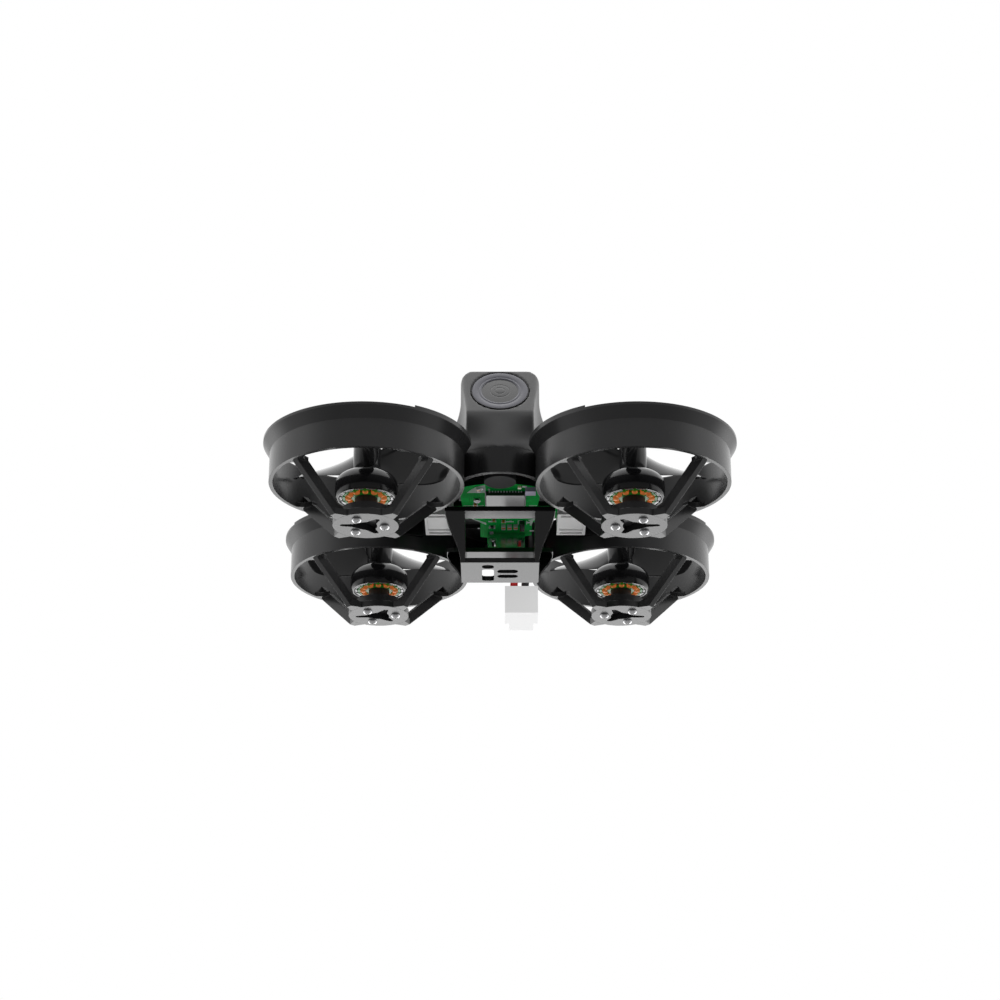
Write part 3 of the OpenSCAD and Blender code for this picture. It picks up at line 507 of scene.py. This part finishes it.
DUCT_R, DUCT_GAP = 17.1, 0.3
TOWER_X, TOWER_TOP = 7.1, 32.85
CANOPY_LOW, CANOPY_BACK, CANOPY_WALL = 15.4, 19.8, 0.8
CREASE, BROW = (-21.9, 22.75), (-17.0, 32.85)  # (y, z) of the lower and upper edge of the camera face
FLARE_R, FLARE_Z = 7.0, 19.6
FOOT_R, FOOT_LEAN, CREASE_DIP = 8.53, 0.147, 2.5
FLATTEN_LOW, FLATTEN_H = 16.6, 5.4
SLOPE, TAIL = (1, 22.4, 0.83), (7, 18.7, 0.17)  # (y, z) of a point of each part of the roof, and its fall
FRONT_SCALE, ROOF_SCALE = 0.97, 0.8  # bring a height over a slope back to a distance
EDGE_TOP, EDGE_MORE, EDGE_RUN = 1.3, 1.0, 10  # rounding of the upright front edges, growing downward
ROUND = {"roof": 2.0, "top": 1.0, "top_sides": 1.6, "corners": 2.6, "brow": 0.25, "back": 0.8,
         "ducts": 0.15, "tabs": 0.3}
FRONT_Y, FRONT_DROP, SEAT_GAP = -13, 0.3, 0.02
BRIDGE_R, BRIDGE_Y = 8.0, 14.5
POST_R = 18.03
TAB_H, TAB_END, TAB_START, TAB_SKEW = 1.0, 22.4, 9.0, 3
BORE_R, SEAT_R, SEAT_H = 0.62, 1.5, 1.1
LENS_HOLE_DEPTH = 3
CANOPY_BOX, CANOPY_CELL = ((-23, -23.6, 14.9), (23, 23, 33.4)), 0.3


def overlap(a, b, r):
    """Intersection of two distance fields with the edge between them rounded."""
    u, v = np.maximum(a + r, 0), np.maximum(b + r, 0)
    return np.minimum(-r, np.maximum(a, b)) + np.hypot(u, v)


def smooth_max(a, b, k):
    """The greater of two fields, blended where they are less than k apart."""
    h = np.clip(0.5 + 0.5 * (a - b) / k, 0, 1)
    return b + (a - b) * h + k * h * (1 - h)


def clear_of_duct(corner, x, y):
    return DUCT_R + DUCT_GAP - np.hypot(x - corner.x / MM, y - corner.y / MM)


def canopy_outside(x, y, z):
    """Distance to the closed outer form of the canopy."""
    ax = np.abs(x)
    # The foot is an upright cylinder; above a crease that dips in the middle it leans back and flattens
    reach = np.sqrt(np.maximum(FOOT_R ** 2 - ax ** 2, 0))
    crease = CANOPY_LOW + CREASE_DIP * (ax / TOWER_X) ** 2
    ease = np.clip((z - FLATTEN_LOW) / FLATTEN_H, 0, 1)
    ease = ease * ease * (3 - 2 * ease)
    foot = -BRIDGE_Y - reach + FOOT_LEAN * np.maximum(z - crease, 0) - (FOOT_R - reach) * ease
    foot = foot + FOOT_LEAN * np.minimum(crease - CANOPY_LOW, z - CANOPY_LOW) * ease
    tilt = math.atan2(BROW[0] - CREASE[0], BROW[1] - CREASE[1])
    camera_face = -((y - CREASE[0]) * math.cos(tilt) - (z - CREASE[1]) * math.sin(tilt))
    front = np.maximum((foot - y) * FRONT_SCALE, camera_face)
    flare = FLARE_R - np.hypot(ax - TOWER_X - FLARE_R, z - FLARE_Z - FLARE_R)
    sides = np.where(z > FLARE_Z + FLARE_R, ax - TOWER_X, np.maximum(ax - TOWER_X - FLARE_R, flare))
    slope, tail = (height - fall * (y - at) for at, height, fall in (SLOPE, TAIL))
    roof = smooth_max(slope, tail, ROUND["roof"])
    top = overlap((z - roof) * ROOF_SCALE, z - TOWER_TOP, ROUND["top"])
    edge = EDGE_TOP + EDGE_MORE * np.clip((TOWER_TOP - z) / EDGE_RUN, 0, 1)
    form = np.maximum(overlap(front, sides, edge), overlap(top, sides, ROUND["top_sides"]))
    form = np.maximum(form, overlap(sides, z - TOWER_TOP, ROUND["corners"]))
    form = np.maximum(form, overlap(front, top, ROUND["brow"]))
    form = overlap(form, y - CANOPY_BACK, ROUND["back"])
    for corner in AXES.values():
        form = smooth_max(form, clear_of_duct(corner, x, y), ROUND["ducts"])
    return form


def canopy_field(x, y, z):
    """Distance to the canopy: the shell with its lens hole, and three tabs with screw holes."""
    outer = canopy_outside(x, y, z)
    shell = np.maximum(outer, -(outer + CANOPY_WALL))
    _, middle_y, middle_z = LENS_MIDDLE
    along = (y - middle_y) * CAMERA_AHEAD[1] + (z - middle_z) * CAMERA_AHEAD[2]
    across = np.sqrt(np.maximum(x ** 2 + (y - middle_y) ** 2 + (z - middle_z) ** 2 - along ** 2, 0))
    hole = np.maximum(across - LENS_R, np.abs(along) - LENS_HOLE_DEPTH)
    shell = np.maximum(shell, -hole)
    for dx, dy in ((1, 0), (-1, 0), (0, 1)):
        tab = np.hypot(x - dx * BRIDGE_Y, y - dy * BRIDGE_Y) - BRIDGE_R
        tab = overlap(tab, z - CANOPY_LOW - TAB_H, ROUND["tabs"])
        tab = np.maximum(tab, dx * x + dy * y - TAB_END)
        tab = np.maximum(tab, TAB_START - np.maximum(np.abs(x) + TAB_SKEW, np.abs(y) - TAB_SKEW))
        for corner in AXES.values():
            tab = np.maximum(tab, clear_of_duct(corner, x, y))
        shell = np.minimum(shell, tab)
        bore = np.hypot(x - dx * POST_R, y - dy * POST_R)
        shell = np.maximum(shell, BORE_R - bore)
        shell = np.maximum(shell, np.minimum(SEAT_R - bore, z - CANOPY_LOW - SEAT_H))
    return np.maximum(shell, np.where(y < FRONT_Y, CANOPY_LOW - FRONT_DROP, CANOPY_LOW + SEAT_GAP) - z)


def make_canopy():
    points, faces = surface_net(canopy_field, *CANOPY_BOX, CANOPY_CELL)
    add_piece("canopy_shell", points, faces, MATERIALS["canopy_black"], AIRFRAME, "canopy_black",
              ["canopy"], sharp=0)


# ---------- camera ----------

CAMERA_TILT = math.radians(26)
CAMERA_AHEAD = np.array([0, -math.cos(CAMERA_TILT), math.sin(CAMERA_TILT)])
LENS_R = 5.24
FACE_AHEAD = 0.425  # from the middle of the bezel's box to the lens face


def lens_middle():
    low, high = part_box("lens_bezel")
    middle = (np.array(low) + np.array(high)) / 2 / MM - (0, 0, LIFT / MM)
    return middle + FACE_AHEAD * CAMERA_AHEAD


LENS_MIDDLE = lens_middle()


def along_camera(part):
    """The same part with its Z axis along the camera's and its origin in the lens face."""
    points, faces = part
    turn = np.array(Matrix.Rotation(math.pi / 2 - CAMERA_TILT, 3, "X"))
    return (np.asarray(points) @ turn.T + LENS_MIDDLE).tolist(), faces


def make_lens():
    """Black ring, a pale coated window round the edge, and a dome with fine steps in the middle; window and dome
    are grey partly from their coating and partly from painted reflection.
    """
    ring = [(5.2, -0.95), (5.2, 0.0)] + arc((5.15, 0.0), 0.05, 0, 180, 6) + [(5.06, -0.2), (5.06, -0.95)]
    add_piece("lens_ring", *along_camera(lathe(ring)), MATERIALS["camera_black"], AIRFRAME, "camera_black",
              ["lens_bezel"])
    dome_r, back = 3.3, -0.9
    window = [(dome_r, back), (5.03, back), (5.03, -0.04), (4.95, 0.0), (3.95, -0.03), (3.85, -0.1),
              (3.74, -0.1), (3.66, -0.03), (3.46, -0.03), (3.38, -0.12), (dome_r, -0.14)]
    add_piece("lens_window", *along_camera(lathe(window)), MATERIALS["lens_glass"], AIRFRAME, "lens_glass",
              ["lens_glass"], sharp=50)
    # Each step of the dome: outer and inner radius, depth of its edge, its bulge and its points
    steps = ((dome_r, 1.75, -0.2, 0.14, 8), (1.7, 0.9, -0.1, 0.1, 5), (0.85, 0, -0.03, 0.08, 5))
    dome, inner, core = ([(r, edge + bulge * (1 - (r / outer) ** 2)) for r in np.linspace(outer, end, count)]
                         for outer, end, edge, bulge, count in steps)
    profile = [(0, back), (dome_r, back)] + dome + [(1.72, -0.12)] + inner + [(0.87, -0.05)] + core
    add_piece("lens_dome", *along_camera(lathe(profile)), MATERIALS["lens_dome"], AIRFRAME, "lens_glass",
              sharp=50)


# ---------- motors and propellers ----------

BELL_R, BELL_LOW, BELL_TOP, BELL_WALL = 5.58, 5.0, 9.9, 0.4
BELL_WIDE, BELL_ABOVE, BELL_BELOW, BELL_ROUND = 6.9, 3.25, 4.0, 2.6
SHAFT_R = 0.75
STATOR_ARMS = 12
SCREW_R, HEAD_R, HEAD_H, MOUNT_T, SUNK = 0.6, 0.9, 0.65, 1.2, 0.02
BLADE_TURN, BLADE_PITCH, BLADE_T, BLADE_Z, BLADE_CAMBER = 26, 36, 0.5, 12.5, 0.35
CHORD, CHORD_MIDDLE, CHORD_REACH, CHORD_ROUND = 7.2, 8.5, 7.3, 3.2
ROOT_R, TIP_R, TIP_ROUND, TIP_LEFT = 2.1, 15.2, 0.29, 0.02
TIP_STATIONS = [15.3, 15.4, 15.45, 15.48]
HUB_R, HUB_LOW, HUB_TOP, HUB_EDGE = 2.45, BELL_TOP + 0.02, 15.0, 0.3


def hand_of(corner):
    """1 or -1, for which way round the propeller is made."""
    axis = AXES[corner]
    return 1 if axis.x * axis.y > 0 else -1


def bell_radius(z):
    """Outer radius of the bell at a height: widest at BELL_WIDE, rounded in to a flat crown."""
    reach = BELL_ABOVE if z > BELL_WIDE else BELL_BELOW
    return BELL_R * (1 - (abs(z - BELL_WIDE) / reach) ** BELL_ROUND) ** (1 / BELL_ROUND)


def make_bell(corner):
    lip = 0.14
    start = bell_radius(BELL_LOW)
    heights = np.linspace(BELL_LOW + lip, BELL_TOP - 0.1, 28)
    crown = [(bell_radius(BELL_TOP) - 0.15, BELL_TOP - 0.03), (bell_radius(BELL_TOP) - 0.4, BELL_TOP)]
    ceiling = BELL_TOP - 0.7
    cave = [(bell_radius(z) - BELL_WALL, z) for z in np.linspace(ceiling, BELL_LOW + 0.1, 20)]
    rim = arc((start - lip - 0.02, BELL_LOW + lip), lip, -110, -10, 6)
    profile = (rim + [(bell_radius(z), z) for z in heights] + crown
               + [(SHAFT_R, BELL_TOP), (SHAFT_R, ceiling)] + cave + [(start - BELL_WALL, BELL_LOW + 0.03)])
    axis = AXES[corner] / MM
    add_piece("bell_dome_" + corner, *moved(lathe(profile), (axis.x, axis.y, 0)), MATERIALS["bell_black"],
              "rotor_" + corner, "bell_black", ["bell_" + corner])


def blade_ring(r, steps=10):
    """Closed ring of points round the blade section at distance r from the axis."""
    chord = CHORD * math.sqrt(max(1 - (abs(r - CHORD_MIDDLE) / CHORD_REACH) ** CHORD_ROUND, 0.0))
    if r > TIP_R:
        chord *= math.sqrt(max(1 - ((r - TIP_R) / TIP_ROUND) ** 2, TIP_LEFT))
    twist = math.atan(BLADE_PITCH / (2 * math.pi * r))
    c, s = math.cos(twist), math.sin(twist)
    across = [math.cos(math.pi * k / steps) / 2 for k in range(steps + 1)]
    ring = []
    for side, row in ((1, across), (-1, across[-2:0:-1])):
        for u in row:
            thin = BLADE_T / 2 * math.sqrt(max(1 - 4 * u * u, 0)) * (0.9 - 0.3 * u)
            w, h = u * chord, side * thin + BLADE_CAMBER * (1 - 4 * u * u)
            ring.append((r, -(w * c - h * s), BLADE_Z + w * s + h * c))
    return ring


def make_propeller(corner):
    stations = list(np.linspace(ROOT_R, TIP_R, 30)) + TIP_STATIONS
    blade = loft([blade_ring(r) for r in stations])
    axis = AXES[corner] / MM
    blades = join([moved(blade, turn=BLADE_TURN + 120 * k) for k in range(3)])
    add_piece("blades_" + corner, *moved(blades, (axis.x, axis.y, 0), flip=hand_of(corner)),
              MATERIALS["blade_black"], "rotor_" + corner, "blade_black", ["propeller_" + corner])
    edge_r = HUB_R - HUB_EDGE
    hub = ([(SHAFT_R, HUB_LOW), (edge_r, HUB_LOW)]
           + arc((edge_r, BELL_TOP + HUB_EDGE + 0.02), HUB_EDGE, -90, 0, 4)
           + arc((edge_r, HUB_TOP - HUB_EDGE), HUB_EDGE, 0, 90, 4) + [(SHAFT_R, HUB_TOP)])
    add_piece("hub_" + corner, *moved(lathe(hub), (axis.x, axis.y, 0)), MATERIALS["blade_black"],
              "rotor_" + corner, "blade_black")


def make_coils():
    """Twelve coils to a motor, each of turns of enamelled wire round a stator arm."""
    turns, sides, wire = 6, 6, 0.085
    start_r, turn_step, bulge = 2.72, 0.165, 0.07
    least_half_w, arm_low, arm_high, r = 0.34, 4.94, 7.86, 0.2
    parts = []
    for turn in range(turns):
        at = start_r + turn_step * turn
        swell = bulge * math.sin(math.pi * turn / (turns - 1))
        half_w, low, high = least_half_w + swell, arm_low - swell, arm_high + swell
        path = []
        for cx, cz, start in ((half_w - r, high - r, 0), (-half_w + r, high - r, 90),
                              (-half_w + r, low + r, 180), (half_w - r, low + r, 270)):
            path += [(y, z, a) for (y, z), a in zip(arc((cx, cz), r, start, start + 90, 3),
                                                    np.radians(np.linspace(start, start + 90, 4)))]
        rings = []
        for y, z, a in path:
            ring = []
            for k in range(sides):
                b = 2 * math.pi * k / sides
                out = wire * math.cos(b)
                ring.append((at + wire * math.sin(b), y + out * math.cos(a), z + out * math.sin(a)))
            rings.append(ring)
        parts.append(loft(rings, closed=True))
    coil = join(parts)
    motor = join([moved(coil, turn=360 * k / STATOR_ARMS) for k in range(STATOR_ARMS)])
    all_motors = join([moved(motor, (axis.x / MM, axis.y / MM, 0)) for axis in AXES.values()])
    add_piece("wound_coils", *all_motors, MATERIALS["copper"], AIRFRAME, "copper", ["stator_windings"])


def make_screws():
    """Button-head screws under each motor; the cross recess is not cut but drawn as two narrow near-black bars in
    the dome, painted shade for the hollow.
    """
    low, high, fullness, cross_turn = -HEAD_H + 0.03, SUNK, 0.8, 20
    dome = [(HEAD_R * math.sin(a), high - (high - low) * math.cos(a) ** fullness)
            for a in np.linspace(0.35, 1.5, 12)]
    head = [(SCREW_R, high)] + [(HEAD_R, high)] + dome[::-1] + [(0, low)]
    shank = [(0, MOUNT_T - SUNK), (SCREW_R, MOUNT_T - SUNK)]
    whole = lathe((shank + head)[::-1])
    bar = block(-0.42, 0.42, -0.07, 0.07, low - 0.012, low + 0.1)
    marks = [moved(bar, turn=t) for t in (cross_turn, cross_turn + 90)]
    places = [(np.array(a) + np.array(b)) / 2 for a, b in solid_boxes("motor_screws")]
    heads = join([moved(whole, (x, y, 0)) for x, y, _ in places])
    add_piece("screw_heads", *heads, MATERIALS["screw_steel"], AIRFRAME, "steel", ["motor_screws"], sharp=50)
    # Near-black bars in each head: painted shade standing in for the hollow of the cross recess
    recess_shade_bars = join([moved(mark, (x, y, 0)) for x, y, _ in places for mark in marks])
    add_piece("screw_recess_shade", *recess_shade_bars, MATERIALS["camera_black"], AIRFRAME, "steel")


# ---------- flight controller details ----------

LAYOUT_X = 1.0  # the parts on the board sit this far to one side of its middle
BOARD_Z = 12.2  # its underside


def chip_ends(node, ends_name, body_name, slot):
    """Ceramic or resistive body with a tinned cap at each end, in place of each plain block."""
    bodies, ends = [], []
    cap_share, inset, chamfer = 0.24, 0.03, 0.02
    for low, high in solid_boxes(node):
        size = high - low
        long = 0 if size[0] > size[1] else 1
        whole = size[long]
        cap = whole * cap_share
        for a, b, target in ((0, cap, ends), (cap, whole - cap, bodies), (whole - cap, whole, ends)):
            start, stop = low.copy(), high.copy()
            start[long], stop[long] = low[long] + a, low[long] + b
            if target is bodies:
                start[1 - long] += inset
                stop[1 - long] -= inset
                start[2] += inset
            target.append(block(start[0], stop[0], start[1], stop[1], start[2], stop[2], chamfer))
    add_piece(body_name, *join(bodies), MATERIALS[slot], AIRFRAME, slot, [node], sharp=30)
    add_piece(ends_name, *join(ends), MATERIALS["tin"], AIRFRAME, "steel", sharp=30)


def make_chip_pins():
    """Short tinned pins along all four sides of the processor."""
    low, high = (np.array(v) / MM - (0, 0, LIFT / MM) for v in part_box("processor_chip"))
    count, pin, out, chamfer = 12, 0.13, 0.22, 0.02
    row, margin = 0.9, 0.05  # shares of a side
    z0, z1 = BOARD_Z - 0.28, BOARD_Z
    parts = []
    for k in range(count):
        share = (k + 0.5) / count * row + margin
        x, y = low[0] + share * (high[0] - low[0]), low[1] + share * (high[1] - low[1])
        for edge in (low[1] - out, high[1]):
            parts.append(block(x - pin, x + pin, edge, edge + out, z0, z1, chamfer))
        for edge in (low[0] - out, high[0]):
            parts.append(block(edge, edge + out, y - pin, y + pin, z0, z1, chamfer))
    add_piece("processor_pins", *join(parts), MATERIALS["tin"], AIRFRAME, "steel", sharp=30)


def make_board_marks():
    """White print under the board, with generic bars in place of lettering, and tinned pads."""
    z0, z1 = BOARD_Z - 0.04, BOARD_Z
    x = LAYOUT_X
    white = [plate([(x - 7.0, -9.0), (x - 3.6, -9.0), (x - 3.6, -11.0), (x - 3.7, -12.7), (x - 5.2, -11.9),
                    (x - 6.2, -10.6)][::-1], z0, z1),
             plate([(x - 6.2, 3.3), (x - 6.2, 3.75), (x - 4.7, 5.4), (x - 3.6, 6.6), (x - 3.6, 5.6)],
                   z0, z1),
             plate([(x + 4.2, 4.2), (x + 5.9, 3.2), (x + 6.2, 3.4), (x + 5.2, 4.6), (x + 4.9, 7.0),
                    (x + 4.6, 7.0), (x + 4.6, 4.8)], z0, z1)]
    bars = ((-7.7, -4.0, -3.0, -2.8), (4.3, 5.8, -3.0, -2.8), (0.1, 1.6, 4.8, 5.3), (2.3, 2.5, 4.6, 6.8),
            (3.9, 4.1, 4.6, 6.4), (2.4, 3.2, 4.4, 4.6))
    white += [block(x + a, x + b, c, d, z0, z1) for a, b, c, d in bars]
    add_piece("board_print", *join(white), MATERIALS["board_print"], AIRFRAME, "white_nylon", sharp=30)
    pads = [(3.4, -12.0, 0.45, 0.3), (-3.0, -10.6, 0.2, 0.3), (4.4, 5.4, 0.3, 0.3), (-5.0, 8.4, 0.2, 0.2),
            (1.0, 4.9, 0.25, 0.3), (-2.9, 4.9, 0.3, 0.25), (5.0, 9.6, 0.4, 0.25), (-2.6, 10.4, 0.35, 0.3)]
    tin = [block(x + px - w, x + px + w, py - d, py + d, z0 - 0.04, z1, 0.02) for px, py, w, d in pads]
    bead = lathe([(0, -0.32), (0.3, -0.3), (0.42, -0.15), (0.42, 0.0), (0, 0.0)], 20)
    tin += [moved(bead, (x - 5.3, -5.0, BOARD_Z)), moved(bead, (x - 5.0, -5.1, BOARD_Z))]
    add_piece("board_pads", *join(tin), MATERIALS["tin"], AIRFRAME, "steel", sharp=30)


def make_solder_joints():
    """Beads of solder where the battery lead meets the top of the board."""
    bead = lathe([(0, 0), (1.15, 0), (1.1, 0.12), (0.9, 0.35), (0.55, 0.75), (0, 0.95)], 32)
    top = BOARD_TOP / MM - LIFT / MM
    starts = [WIRE_ROUTE[0][0] / MM, (WIRE_ROUTE[0][0] + WIRE_PITCH) / MM]
    beads = [moved(bead, (x, WIRE_ROUTE[0][1] / MM, top)) for x in starts]
    add_piece("lead_solder", *join(beads), MATERIALS["tin"], AIRFRAME, "steel")


# ---------- battery lead ----------

# Centre line of the red wire, from the solder pads to the plug, with heights from the motor mounts
WIRE_ROUTE = [(0.0036, -0.0040, 0.0140), (0.0036, -0.0020, 0.0140), (0.0036, 0.0010, 0.0140),
              (0.0036, 0.0040, 0.0140), (0.0036, 0.0070, 0.0140), (0.0036, 0.0100, 0.0140),
              (0.0037, 0.0130, 0.01395), (0.0038, 0.0150, 0.0133), (0.0039, 0.0162, 0.0121),
              (0.0040, 0.0170, 0.0106), (0.0039, 0.0177, 0.0091), (0.0036, 0.0186, 0.0079),
              (0.0032, 0.0198, 0.00715), (0.00285, 0.0208, 0.0066), (0.0027, 0.0215, 0.0058),
              (0.0027, 0.0217, 0.00475)]
WIRE_DIAMETER = 0.00145
WIRE_PITCH = 0.00215


def make_wire(node, shift):
    """Round wire along the route, shifted in X."""
    curve = bpy.data.curves.new(node, "CURVE")
    curve.dimensions = "3D"
    curve.bevel_depth = WIRE_DIAMETER / 2
    curve.bevel_resolution = 6
    curve.resolution_u = 8
    curve.use_fill_caps = True
    spline = curve.splines.new("BEZIER")
    spline.bezier_points.add(len(WIRE_ROUTE) - 1)
    for point, place in zip(spline.bezier_points, WIRE_ROUTE):
        point.co = Vector(place) + Vector((shift, 0, LIFT))
        point.handle_left_type = "AUTO"
        point.handle_right_type = "AUTO"
    wire = bpy.data.objects.new("lead_" + node, curve)
    bpy.context.scene.collection.objects.link(wire)
    curve.materials.append(MATERIALS[SLOT_OF_NODE[node]])
    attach(wire, AIRFRAME)
    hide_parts(node)


# ---------- making ----------

make_camera()
make_wire("wire_red", 0)
make_wire("wire_black", WIRE_PITCH)
make_floor()
make_world()
paint_cad_nodes()
make_canopy()
make_lens()
make_coils()
make_screws()
for each in CORNERS:
    make_bell(each)
    make_propeller(each)
chip_ends("ceramic_capacitors", "capacitor_ends", "capacitor_bodies", "capacitor")
chip_ends("chip_resistors", "resistor_ends", "resistor_bodies", "chip_black")
make_chip_pins()
make_board_marks()
make_solder_joints()
bpy.context.scene.view_settings.view_transform = "Standard"
